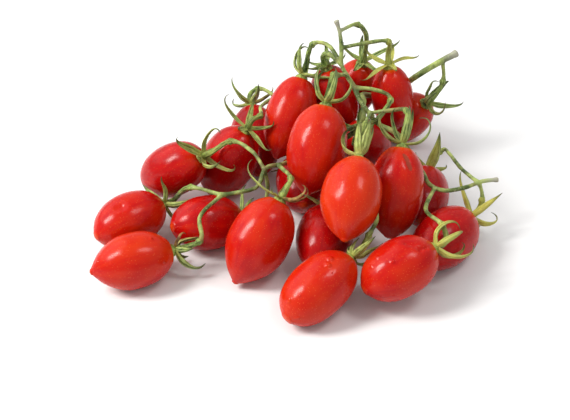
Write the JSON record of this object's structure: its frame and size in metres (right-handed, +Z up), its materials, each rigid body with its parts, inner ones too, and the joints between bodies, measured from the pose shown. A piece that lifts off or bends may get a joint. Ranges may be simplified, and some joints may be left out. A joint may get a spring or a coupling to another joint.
{
  "type": "truss of tomatoes",
  "caption": "Freshly picked truss of small plum tomatoes, lying in a loose pile on their branching green stem, each fruit with its own calyx and stalk.",
  "frame": {"origin": "on the table, under the middle of the bunch's box", "axes": "+X along the longest side of the bunch, to the right as it is shown; +Y away from the front; +Z up"},
  "size_m": [0.2108, 0.187, 0.0905],
  "materials": {
    "tomato_skin": "smooth, shiny and slightly see-through red skin, from orange at the shoulders to deep red",
    "calyx": "soft, finely hairy green sepals and stalks, yellow at the base and dry brown at some tips",
    "stem": "soft, finely hairy green stem, brown at the knuckles and grey at the cut ends"
  },
  "bodies": {
    "root": {"tomato_01": "tomato_skin", "tomato_02": "tomato_skin", "tomato_03": "tomato_skin", "tomato_04": "tomato_skin", "tomato_05": "tomato_skin", "tomato_06": "tomato_skin", "tomato_07": "tomato_skin", "tomato_08": "tomato_skin", "tomato_09": "tomato_skin", "tomato_10": "tomato_skin", "tomato_11": "tomato_skin", "tomato_12": "tomato_skin", "tomato_13": "tomato_skin", "tomato_14": "tomato_skin", "tomato_15": "tomato_skin", "tomato_16": "tomato_skin", "tomato_17": "tomato_skin", "tomato_18": "tomato_skin", "tomato_19": "tomato_skin", "tomato_20": "tomato_skin", "tomato_21": "tomato_skin", "tomato_22": "tomato_skin", "calyx_01": "calyx", "calyx_02": "calyx", "calyx_03": "calyx", "calyx_04": "calyx", "calyx_05": "calyx", "calyx_06": "calyx", "calyx_07": "calyx", "calyx_08": "calyx", "calyx_09": "calyx", "calyx_10": "calyx", "calyx_11": "calyx", "calyx_12": "calyx", "calyx_13": "calyx", "calyx_14": "calyx", "calyx_15": "calyx", "calyx_16": "calyx", "calyx_17": "calyx", "calyx_18": "calyx", "calyx_19": "calyx", "calyx_20": "calyx", "calyx_21": "calyx", "calyx_22": "calyx", "main_stem": "stem", "top_branch": "stem", "left_branch": "stem", "right_branch": "stem"}
  },
  "joints": []
}
